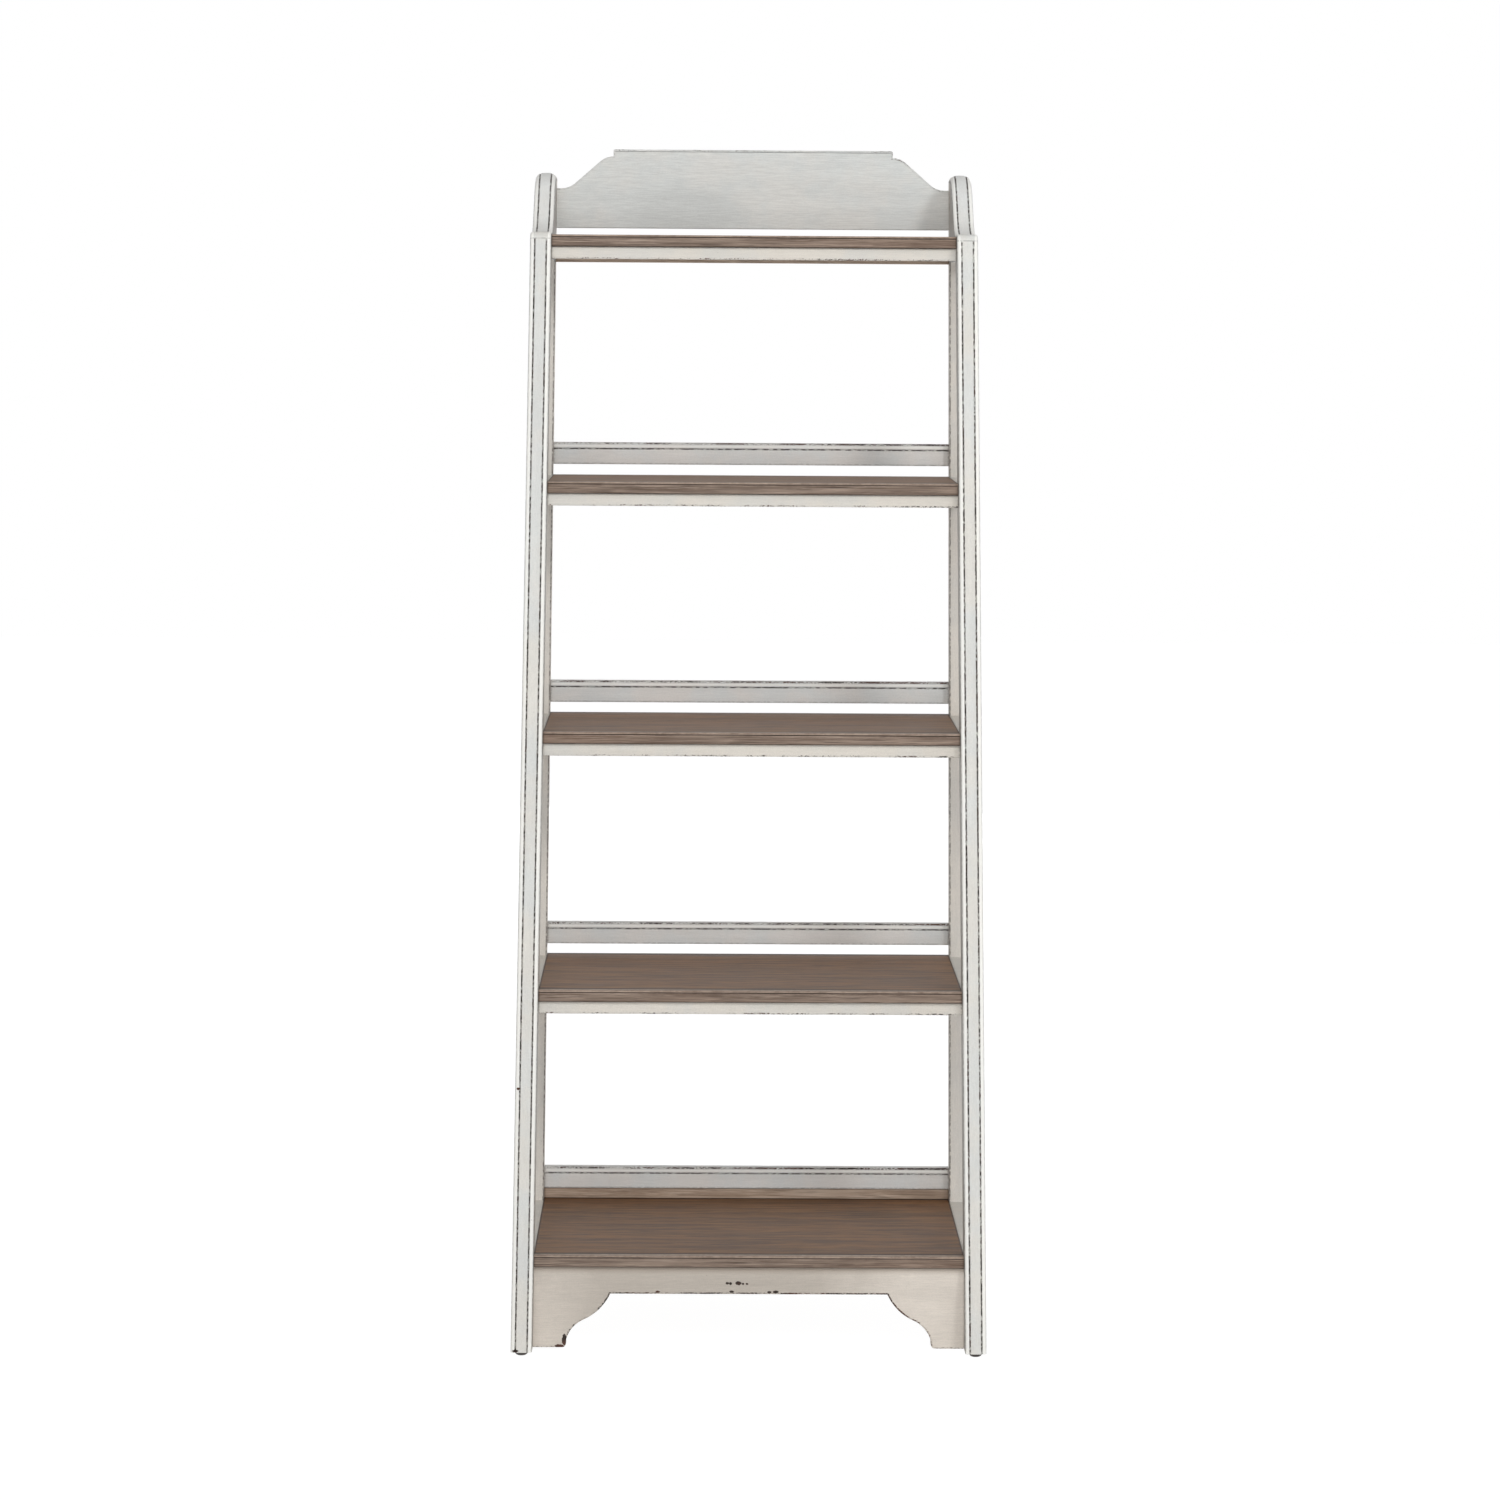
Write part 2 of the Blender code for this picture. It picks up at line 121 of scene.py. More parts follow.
# Floor glides
STEM_RADIUS = 0.0040
THREAD_PITCH = 0.00125
THREAD_DEPTH = 0.0004
GLIDE_RIM = 0.003
GLIDE_FLAT_RADIUS = 0.005
GLIDE_EDGE = 0.0006
ROUND_SEGMENTS = 40

# Meshes
STATION = 0.009  # between points along an edge
ARC_STEPS = 10
CORNER_STEPS = 6
FILLET_STEPS = 5
SHARP_ANGLE = math.radians(32)
SAME_LINE = 0.02  # the sine below which two sides of an outline count as one line
END_BAND = 0.0030  # at each end of a bar, where its joint's glaze fades out
FADE_CORE = 0.4  # the share of a mark's reach that keeps its full strength
WORN_DEPTH = 0.0003
WORN_CELLS = 55  # to the metre
WORN_EVENLY = 0.25  # how much of the rubbing is even

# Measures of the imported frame
BOARDS = [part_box(f"shelf_board_{n}") for n in range(1, 6)]
NOSINGS = [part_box(f"shelf_nosing_{n}") for n in range(1, 6)]
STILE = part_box("right_front_stile")
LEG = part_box("right_back_leg")
RISE = BOARDS[-1][0].z - BOARDS[0][0].z
TAPER = (BOARDS[0][1].x - BOARDS[-1][1].x) / RISE
LEAN = (NOSINGS[-1][0].y - NOSINGS[0][0].y) / RISE


def outer_half(z):
    return STILE[1].x - TAPER * (z - STILE[0].z)


def inner_half(z):
    return BOARDS[0][1].x + GAP - TAPER * (z - BOARDS[0][0].z)


def stile_front(z):
    return STILE[0].y + LEAN * (z - STILE[0].z)


STILE_WIDTH = outer_half(0) - inner_half(0)
STILE_DEPTH = STILE[1].y - stile_front(STILE[1].z)


def stile_back(z):
    return stile_front(z) + STILE_DEPTH


# Outlines


def arc_between(start, end, turn, steps=ARC_STEPS):
    """Points from start to end, both included, on the circle that turns left by this angle."""
    start, end = Vector(start), Vector(end)
    chord = end - start
    to_centre = Vector((-chord.y, chord.x)) / (2 * math.tan(turn / 2))
    centre = (start + end) / 2 + to_centre
    spoke = start - centre
    return [centre + Matrix.Rotation(turn * i / steps, 2) @ spoke for i in range(steps + 1)]


def ogee(start, end, steepness):
    """An S from start up to end, level at both: a hollow arc, a straight, and a full arc of equal radii."""
    start, end = Vector(start), Vector(end)
    run, rise = abs(end.x - start.x), end.y - start.y
    way = math.copysign(1, end.x - start.x)
    chord = math.atan2(rise, run)
    slope = min(2 * chord, chord + steepness * (math.pi / 2 - chord))
    radius = (run * math.sin(slope) - rise * math.cos(slope)) / (1 - math.cos(slope)) / 2
    angles = [slope * i / ARC_STEPS for i in range(ARC_STEPS + 1)]
    arcs = [Vector((way * radius * math.sin(a), radius * (1 - math.cos(a)))) for a in angles]
    return [start + p for p in arcs] + [end - p for p in reversed(arcs)]


def divide(points, step=STATION):
    """The points, with more between them on each long stretch."""
    divided = [Vector(points[0])]
    for a, b in zip(points, points[1:]):
        a, b = Vector(a), Vector(b)
        count = max(1, round((b - a).length / step))
        divided += [a.lerp(b, i / count) for i in range(1, count + 1)]
    return divided


# Meshes with the marks that the materials read: glaze in the recesses, wear on the edges, a painted
# highlight on beads and shoulders, and painted shade on the inner faces


Mark = namedtuple("Mark", "glaze wear light haze", defaults=(0, 0, 0, 0))
PLAIN = Mark()


def mesh_object(name, bm, material, replaces, body=BODY):
    bmesh.ops.recalc_face_normals(bm, faces=bm.faces)
    mesh = bpy.data.meshes.new(name)
    bm.to_mesh(mesh)
    bm.free()
    mesh.shade_smooth()
    mesh.set_sharp_from_angle(angle=SHARP_ANGLE)
    mesh.materials.append(material)
    obj = bpy.data.objects.new(name, mesh)
    bpy.context.scene.collection.objects.link(obj)
    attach(obj, body)
    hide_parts(replaces)
    return obj


def new_marked():
    bm = bmesh.new()
    return bm, [bm.verts.layers.float.new(name) for name in Mark._fields]


def add_marked(bm, layers, place, mark):
    vert = bm.verts.new(place)
    for layer, value in zip(layers, mark):
        vert[layer] = value
    return vert


def strongest(*marks):
    return Mark(*(max(values) for values in zip(*marks)))


def skin(bm, rows):
    """Faces through rows of vertices, each row a closed ring, with a cap at each end."""
    for row, following in zip(rows, rows[1:]):
        for i in range(len(row)):
            bm.faces.new((row[i - 1], row[i], following[i], following[i - 1]))
    bm.faces.new(rows[0])
    bm.faces.new(rows[-1])


def wear_down(bm):
    """Rubs the worn edges down by up to WORN_DEPTH, unevenly."""
    wear = bm.verts.layers.float["wear"]
    bmesh.ops.recalc_face_normals(bm, faces=bm.faces)
    bm.normal_update()
    moves = []
    for vert in bm.verts:
        rub = max(0, noise.noise(vert.co * WORN_CELLS) + WORN_EVENLY) * vert[wear]
        moves.append((vert, -vert.normal * WORN_DEPTH * rub))
    for vert, move in moves:
        vert.co += move


def fillet(before, at, after, radius):
    """The arc that rounds the corner at a point of a section."""
    if not radius:
        return [at]
    inwards, outwards = (at - before).normalized(), (after - at).normalized()
    turn = inwards.angle(outwards)
    side = math.copysign(1, inwards.cross(outwards))
    normal = side * Vector((-inwards.y, inwards.x))
    start = at - inwards * radius * math.tan(turn / 2)
    angles = [turn * i / FILLET_STEPS for i in range(FILLET_STEPS + 1)]
    return [start + radius * (math.sin(a) * inwards + (1 - math.cos(a)) * normal) for a in angles]


Corner = namedtuple("Corner", "y z radius mark reach", defaults=(0, PLAIN, 0.003))


def section(corners):
    """The ring of (point, mark) for a section, with each corner's mark fading out over its reach."""
    ring = []
    points = [Vector((c.y, c.z)) for c in corners]
    for i, corner in enumerate(corners):
        before, at, after = points[i - 1], points[i], points[(i + 1) % len(points)]
        arc = fillet(before, at, after, corner.radius)
        fade = []
        if corner.mark != PLAIN and corner.reach:
            stages = ((1, PLAIN), (FADE_CORE, corner.mark))
            fade = [(corner.radius + corner.reach * share, mark) for share, mark in stages]
        ring += [(at + (before - at).normalized() * away, mark) for away, mark in fade]
        ring += [(point, corner.mark) for point in arc]
        ring += [(at + (after - at).normalized() * away, mark) for away, mark in reversed(fade)]
    return ring


def add_bar(node, corners, material, end_glaze=0.0):
    """A section that runs from one side frame to the other."""
    bm, layers = new_marked()
    ring = section(corners)
    half = inner_half(corners[0].z) - GAP
    count = round(2 * half / STATION)
    end = END_BAND / half
    stations = [-1, -1 + end] + [-1 + 2 * i / count for i in range(1, count)] + [1 - end, 1]
    rows = []
    for share in stations:
        row = []
        end_mark = Mark(glaze=end_glaze if abs(share) == 1 else 0)
        for point, mark in ring:
            place = (share * (inner_half(point.y) - GAP), point.x, point.y)
            row.append(add_marked(bm, layers, place, strongest(mark, end_mark)))
        rows.append(row)
    skin(bm, rows)
    wear_down(bm)
    return mesh_object(node + "_finished", bm, material, node)


# The marks from a stile's side face round its bead. The rest of the bead has a painted highlight.
RIM_MARKS = (Mark(0.8, 0.85), Mark(0.6, 0.7), Mark(0.25, 0.25))

# A row of a slab: how far it is through the thickness, and its depth and mark for each kind of side
Row = namedtuple("Row", "through depths marks")


def round_rows(near, far, radius, mark, reach):
    """Rows that round both edges of every "round" and "eased" side of a slab. The eased ones aren't worn."""
    arc = [radius * (1 - math.sin(math.pi / 2 * i / FILLET_STEPS)) for i in range(FILLET_STEPS + 1)]
    places = [(0, radius + reach, PLAIN), (0, radius + reach / 2, mark)]
    places += [(into, depth, mark) for into, depth in zip(reversed(arc), arc)]
    places.append((radius + reach, 0, PLAIN))
    near_rows = []
    for into, depth, worn in places:
        near_rows.append(Row(near + into, {"round": depth, "eased": depth}, {"round": worn}))
    return near_rows + [row._replace(through=near + far - row.through) for row in reversed(near_rows)]


def moulded_rows(width, haze=0.0):
    """Rows across a stile, with a bead along both edges of every "moulded" and "capped" side.

    A "moulded" side has a groove beside each bead too. The last argument is how much painted shade darkens
    the inner face.
    """
    band = BEAD_RADIUS + BEAD_REACH
    rows = [Row(0, {"moulded": band, "capped": band, "round": BACK_ROUNDING + BACK_REACH}, {})]
    for i in range(BEAD_ROWS):
        a = math.pi / 2 * i / (BEAD_ROWS - 1)
        depth = BEAD_RADIUS * (1 - math.sin(a))
        through = BEAD_RADIUS * (1 - math.cos(a))
        back = max(0, 1 - through / BACK_ROUNDING)
        back_depth = BACK_ROUNDING * (1 - math.sqrt(1 - back * back))
        depths = {"moulded": depth, "capped": depth, "round": back_depth}
        mark = RIM_MARKS[i] if i < len(RIM_MARKS) else Mark(light=1)
        back_mark = Mark(0.75, 0.6) if back else PLAIN
        rows.append(Row(through, depths, {"moulded": mark, "capped": mark, "round": back_mark}))
    # the shoulder beside the bead: worn, with a painted highlight
    rows.append(Row(GROOVE_INSET - GROOVE_SHOULDER, {}, {"moulded": Mark(wear=0.5, light=1)}))
    groove = [(0, 0, 0.6), (0.3, 0.75, 1), (0.5, 1, 1), (0.7, 0.75, 1), (1, 0, 0.6)]
    for share, depth, dark in groove:
        through = GROOVE_INSET + GROOVE_WIDTH * share
        rows.append(Row(through, {"moulded": GROOVE_DEPTH * depth}, {"moulded": Mark(dark, 0.8)}))
    rows.append(Row(GROOVE_INSET + GROOVE_WIDTH + GROOVE_SHOULDER, {}, {"moulded": Mark(wear=0.5)}))
    rows.append(Row(GROOVE_INSET + GROOVE_WIDTH + GROOVE_FADE, {}, {}))
    rows.append(Row(width / 2, {}, {}))
    rows += [row._replace(through=width - row.through) for row in reversed(rows[:-1])]
    # painted shade on the inner face
    inner_shaded = dict.fromkeys(("moulded", "capped", "round", "square"), Mark(haze=haze))
    rows[-1] = rows[-1]._replace(marks=inner_shaded)
    return rows


def flat(point, through):
    """The shape that lowers nothing and marks nothing."""
    return 0, PLAIN


def crown(top, meets=None):
    """The shape that rounds the top of an ear or a leg, with glaze where an ear meets the ledge."""

    def shape(point, through):
        near_top = max(0, 1 - (top - point.y) / CROWN)
        near_side = max(0, 1 - min(through, STILE_WIDTH - through) / CROWN_REACH)
        mark = Mark(glaze=0.5) if meets and (point - meets).length < STATION / 2 else PLAIN
        return CROWN_DROP * near_top * near_side**2, mark

    return shape


def add_slab(node, outline, kinds, rows, place, material, shape=flat):
    """A thick plate. kinds says how each side of the outline is finished, from each point to the next.

    shape gives how far a point of the outline is lowered, this far through the slab, and a mark there.
    """
    bm, layers = new_marked()
    outline = [Vector(p) for p in outline]
    count = len(outline)
    area = sum(outline[i - 1].cross(outline[i]) for i in range(count))
    turn = math.copysign(1, area)
    normals = []
    for i in range(count):
        along = (outline[(i + 1) % count] - outline[i]).normalized()
        normals.append(turn * Vector((-along.y, along.x)))
    vert_rows = []
    for row in rows:
        verts = []
        for i, point in enumerate(outline):
            before, after = kinds[i - 1], kinds[i]
            n1, n2 = normals[i - 1], normals[i]
            drop, across = shape(point, row.through)
            d1, d2 = (row.depths.get(kind, 0) for kind in (before, after))
            sine = n1.cross(n2)
            if abs(sine) < SAME_LINE:
                move = (n1 * d1 + n2 * d2) / 2
            else:
                move = Vector((d1 * n2.y - d2 * n1.y, d2 * n1.x - d1 * n2.x)) / sine
            mark = strongest(row.marks.get(before, PLAIN), row.marks.get(after, PLAIN), across)
            moved = point + move - Vector((0, drop))
            verts.append(add_marked(bm, layers, place(row.through, *moved), mark))
        vert_rows.append(verts)
    skin(bm, vert_rows)
    wear_down(bm)
    return mesh_object(node + "_finished", bm, material, node)


def joined_sides(*sides):
    """The outline and the kinds from stretches of (kind, points), each starting where the last one ends."""
    outline, kinds = [], []
    for kind, points in sides:
        points = divide(points) if kind != "square" else [Vector(p) for p in points]
        outline += points[:-1]
        kinds += [kind] * (len(points) - 1)
    return outline, kinds


# Materials

X, Z = 0, 2  # the way a grain runs
MIX_FIRST, MIX_SECOND, MIX_RESULT = 6, 7, 2  # a Mix node's colour sockets

# Paint. A pair of cells is how many to the metre along the brush strokes and across them.
GLAZE_COLOUR = (54, 47, 43)
BARE_COLOUR = (44, 35, 30)
BARE_RED = (78, 51, 41)
# the colour of the painted highlights
HIGHLIGHT_COLOUR = (249, 248, 243)
# the colour of the painted shadow along the apron's top, under the board
PAINTED_SHADOW_COLOUR = (150, 134, 120)
# the colour of the painted shade on the inner side faces
INNER_SHADE_COLOUR = (118, 107, 99)
BRUSH_CELLS = (36, 520)
WASH_CELLS = (2.5, 60)
BREAK_CELLS = (150, 300)  # the breaks in the glaze lines
CHIP_CELLS = (340, 640)
CLOUD_CELLS = 9
PATCH_CELLS = 22  # the stretches of an edge that are worn more
GRIT_CELLS = 800
FLECK_CELLS = 420
WORN_SHARE = (0.44, 0.62)  # how worn a worn edge is, from its best stretches to its worst
GLAZE_LEFT, GLAZE_RIGHT = 0.32, 0.08  # the least glaze that a break leaves, at each side
WORN_LEFT, WORN_RIGHT = 0.95, 1.05  # the left side is a little less worn
SIDE_REACH = 0.3  # how far from the middle left and right are
SPOT_CORE = 0.3  # the share of a spot's radius that has its full strength
CHIP_SHARPNESS = 26.0
FLECK_SHARPNESS = 12.0
FLECK_LEVEL = 0.80  # the noise above which a fleck shows

# Wood, with its grain along X
FIGURE_CELLS = 5
FIBRE_CELLS = (10, 280)
PORE_CELLS = (20, 1000)
WARMTH_CELLS = (1.2, 7)
RUB_HIGHLIGHT_CELLS = 120
WARM_COLOUR = (118, 82, 58)
JOINT_COLOUR = (40, 32, 27)


class Graph:
    """A material's nodes, added one by one. An input is a value or another node's output."""

    def __init__(self, name):
        self.material = bpy.data.materials.new(name)
        self.material.use_nodes = True
        self.nodes = self.material.node_tree.nodes
        self.links = self.material.node_tree.links
        self.shader = self.nodes["Principled BSDF"]
        self.place = self.add("ShaderNodeTexCoord").outputs["Object"]

    def add(self, kind, inputs=None, **settings):
        node = self.nodes.new(kind)
        for key, value in settings.items():
            setattr(node, key, value)
        for key, value in (inputs or {}).items():
            self.put(node.inputs[key], value)
        return node

    def put(self, socket, value):
        if isinstance(value, bpy.types.NodeSocket):
            self.links.new(value, socket)
        else:
            socket.default_value = value

    def mark(self, name):
        return self.add("ShaderNodeAttribute", attribute_name=name).outputs["Fac"]

    def math(self, operation, first, second=0.0, clamp=False):
        node = self.add("ShaderNodeMath", {0: first, 1: second}, operation=operation, use_clamp=clamp)
        return node.outputs[0]

    def vector(self, operation, first, second=(0, 0, 0)):
        return self.add("ShaderNodeVectorMath", {0: first, 1: second}, operation=operation)

    def noise(self, stretch, detail=3.0, roughness=0.5, distortion=0.0):
        """Noise with this many cells to the metre along X, Y and Z."""
        mapping = self.add("ShaderNodeMapping", {"Vector": self.place, "Scale": stretch})
        inputs = {"Vector": mapping.outputs[0], "Scale": 1.0, "Detail": detail}
        inputs.update({"Roughness": roughness, "Distortion": distortion})
        return self.add("ShaderNodeTexNoise", inputs).outputs["Fac"]

    def spots(self, places):
        """How far a point is into the nearest spot. A spot is its centre's x and z, and its two radii."""
        deepest = 0.0
        for x, z, wide, high in places:
            away = self.vector("SUBTRACT", self.place, (x, 0, z)).outputs[0]
            away = self.vector("MULTIPLY", away, (1 / wide, 0, 1 / high)).outputs[0]
            length = self.vector("LENGTH", away).outputs["Value"]
            deepest = self.math("MAXIMUM", self.between(length, SPOT_CORE, 1.0, 1.0, 0.0), deepest)
        return deepest

    def between(self, value, low, high, new_low=0.0, new_high=1.0):
        """A smooth step from new_low to new_high, as the value goes from low to high."""
        inputs = {"Value": value, "From Min": low, "From Max": high, "To Min": new_low, "To Max": new_high}
        node = self.add("ShaderNodeMapRange", inputs, clamp=True, interpolation_type="SMOOTHSTEP")
        return node.outputs[0]

    def mix(self, share, first, second):
        node = self.add("ShaderNodeMix", data_type="RGBA")
        self.put(node.inputs["Factor"], share)
        self.put(node.inputs[MIX_FIRST], first)
        self.put(node.inputs[MIX_SECOND], second)
        return node.outputs[MIX_RESULT]

    def bump(self, height, distance, strength=1.0):
        inputs = {"Height": height, "Distance": distance, "Strength": strength}
        return self.add("ShaderNodeBump", inputs).outputs[0]


def rgb(*values):
    """A colour given as sRGB numbers from 0 to 255."""
    linear = []
    for value in values:
        v = value / 255
        linear.append(v / 12.92 if v <= 0.04045 else ((v + 0.055) / 1.055) ** 2.4)
    return (*linear, 1.0)


def grain(axis, along, across):
    return tuple(along if i == axis else across for i in range(3))


def even(cells):
    return cells, cells, cells


def paint_material(name, axis, cream, cool, streaks=0.08, clouding=1.0, worn_share=WORN_SHARE,
                   greyer_spots=(), painted_shadows=(), chipped=()):
    """Brushed antique-white paint, with brown glaze in its recesses and dark wood where edges are worn.

    clouding is how far the cool colour drifts in on its own. The three lists are spots: of a cooler,
    slightly darker colour, of painted shadow in a brown tone, and of chips. The mesh's marks add painted
    highlights and painted shade on the inner faces.
    """
    g = Graph(name)
    brush = g.noise(grain(axis, *BRUSH_CELLS), detail=4, roughness=0.75)
    cloud = g.noise(even(CLOUD_CELLS), detail=4, roughness=0.6)
    wash = g.noise(grain(axis, *WASH_CELLS), detail=3)
    grit = g.noise(even(GRIT_CELLS), detail=1)
    # Spots of a cooler, slightly darker colour
    greyer = g.spots(greyer_spots)
    cooler = g.math("ADD", g.between(cloud, 0.38, 0.62, 0.0, clouding), greyer, clamp=True)
    colour = g.mix(cooler, rgb(*cream), rgb(*cool))
    value = g.between(brush, 0.28, 0.72, 1 - streaks, 1.0)
    value = g.math("MULTIPLY", value, g.between(wash, 0.3, 0.7, 0.95, 1.0))
    value = g.math("MULTIPLY", value, g.between(grit, 0.3, 0.7, 0.91, 1.0))
    value = g.math("MULTIPLY", value, g.between(greyer, 0.0, 1.0, 1.0, 0.93))
    colour = g.vector("MULTIPLY", colour, value).outputs[0]
    # Painted shadow in the spots of the second list, such as the apron's top under the board
    colour = g.mix(g.math("MULTIPLY", g.spots(painted_shadows), 0.55), colour, rgb(*PAINTED_SHADOW_COLOUR))
    # Painted shade on the inner side faces of the stiles and ears
    colour = g.mix(g.mark("haze"), colour, rgb(*INNER_SHADE_COLOUR))
    # Painted highlight where the mesh's light mark says, on beads, shoulders and gallery rails
    colour = g.mix(g.math("MULTIPLY", g.mark("light"), 0.75), colour, rgb(*HIGHLIGHT_COLOUR))

    # Glaze, in broken lines
    to_right = g.add("ShaderNodeSeparateXYZ", {0: g.place}).outputs[0]
    breaks = g.noise(grain(axis, *BREAK_CELLS), detail=3, roughness=0.7)
    thinnest = g.between(to_right, -SIDE_REACH, SIDE_REACH, GLAZE_LEFT, GLAZE_RIGHT)
    breaks = g.math("MAXIMUM", g.between(breaks, 0.38, 0.55), thinnest)
    pooled = g.math("MULTIPLY", g.mark("glaze"), breaks, clamp=True)
    colour = g.mix(pooled, colour, rgb(*GLAZE_COLOUR))

    # Bare wood, in chips along the worn edges and in stray flecks
    chips = g.noise(grain(axis, *CHIP_CELLS), detail=3, roughness=0.7)
    patch = g.between(g.noise(even(PATCH_CELLS), detail=2), 0.38, 0.62, *worn_share)
    patch = g.math("MULTIPLY", patch, g.between(to_right, -SIDE_REACH, SIDE_REACH, WORN_LEFT, WORN_RIGHT))
    chipped_here = g.math("MULTIPLY", g.spots(chipped), 0.8)
    worn = g.math("MAXIMUM", g.math("MULTIPLY", g.mark("wear"), patch), chipped_here)
    bare = g.math("SUBTRACT", chips, g.math("SUBTRACT", 1.0, worn))
    bare = g.math("MULTIPLY", bare, CHIP_SHARPNESS, clamp=True)
    flecks = g.math("SUBTRACT", g.noise(even(FLECK_CELLS), detail=1), FLECK_LEVEL)
    bare = g.math("MAXIMUM", bare, g.math("MULTIPLY", flecks, FLECK_SHARPNESS, clamp=True))
    wood = g.mix(g.between(cloud, 0.45, 0.55), rgb(*BARE_COLOUR), rgb(*BARE_RED))
    colour = g.mix(bare, colour, wood)

    g.put(g.shader.inputs["Base Color"], colour)
    g.put(g.shader.inputs["Roughness"], g.between(brush, 0.3, 0.7, 0.48, 0.62))
    g.put(g.shader.inputs["Specular IOR Level"], 0.35)
    height = g.math("SUBTRACT", g.math("MULTIPLY", brush, 0.5), bare)
    g.put(g.shader.inputs["Normal"], g.bump(height, 0.0003, 0.6))
    return g.material


def wood_material(name, light, middle, dark, figures):
    """Grey-brown stained wood with its grain along X, and this many bands of figure to the metre."""
    g = Graph(name)
    figure = g.noise(grain(X, FIGURE_CELLS, figures), detail=7, roughness=0.72, distortion=0.8)
    fibre = g.noise(grain(X, *FIBRE_CELLS), detail=6, roughness=0.7)
    pores = g.noise(grain(X, *PORE_CELLS), detail=1)
    warm = g.noise(grain(X, *WARMTH_CELLS), detail=2)
    colour = g.mix(g.between(figure, 0.38, 0.60), rgb(*dark), rgb(*middle))
    colour = g.mix(g.between(fibre, 0.48, 0.70, 0, 0.8), colour, rgb(*light))
    colour = g.mix(g.between(pores, 0.56, 0.68, 0, 0.6), colour, rgb(*[v * 0.6 for v in dark]))
    colour = g.mix(g.between(warm, 0.45, 0.7, 0, 0.18), colour, rgb(*WARM_COLOUR))
    colour = g.mix(g.math("MULTIPLY", g.mark("glaze"), 0.9), colour, rgb(*JOINT_COLOUR))
    # Worn wood turns lighter: partly the stain rubbed away, partly a painted highlight on the nosing's top
    # and bead
    rub_highlight_noise = g.noise(even(RUB_HIGHLIGHT_CELLS), detail=3, roughness=0.6)
    rubbed_and_highlighted = g.math("MULTIPLY", g.mark("wear"), g.between(rub_highlight_noise, 0.3, 0.7, 0.2, 0.6))
    colour = g.mix(rubbed_and_highlighted, colour, rgb(*[v * 1.15 for v in light]))
    g.put(g.shader.inputs["Base Color"], colour)
    g.put(g.shader.inputs["Roughness"], g.between(fibre, 0.3, 0.7, 0.46, 0.60))
    g.put(g.shader.inputs["Specular IOR Level"], 0.3)
    height = g.math("SUBTRACT", g.math("MULTIPLY", fibre, 0.6), g.math("MULTIPLY", pores, 0.6))
    g.put(g.shader.inputs["Normal"], g.bump(height, 0.0002, 0.5))
    return g.material


def bare_wood_material():
    g = Graph("bare_wood_look")
    figure = g.noise(grain(Z, 300, 60), detail=5, roughness=0.6)
    colour = g.mix(g.between(figure, 0.35, 0.65), rgb(150, 112, 74), rgb(206, 172, 128))
    g.put(g.shader.inputs["Base Color"], colour)
    g.put(g.shader.inputs["Roughness"], 0.7)
    g.put(g.shader.inputs["Normal"], g.bump(figure, 0.0002, 0.5))
    return g.material


def plastic_material():
    g = Graph("glide_plastic_look")
    grit = g.noise(even(700), detail=2)
    colour = g.mix(g.between(grit, 0.4, 0.7), rgb(52, 46, 42), rgb(74, 66, 60))
    g.put(g.shader.inputs["Base Color"], colour)
    g.put(g.shader.inputs["Roughness"], g.between(grit, 0.3, 0.7, 0.38, 0.52))
    g.put(g.shader.inputs["Normal"], g.bump(grit, 0.00005, 0.4))
    return g.material


def steel_material():
    g = Graph("insert_steel_look")
    lines = g.noise(grain(Z, 2500, 60), detail=2)
    g.put(g.shader.inputs["Base Color"], g.mix(lines, rgb(158, 158, 160), rgb(198, 198, 200)))
    g.put(g.shader.inputs["Metallic"], 1.0)
    g.put(g.shader.inputs["Roughness"], g.between(lines, 0.3, 0.7, 0.25, 0.42))
    return g.material


STILE_PAINT = paint_material(
    "paint_stiles", Z, (231, 228, 221), (226, 227, 224),
    chipped=[(-0.3735, 0.0090, 0.0080, 0.0040), (-0.3710, 0.4240, 0.0050, 0.0035)],
)
LEG_PAINT = paint_material("paint_legs", Z, (237, 231, 222), (231, 227, 220))
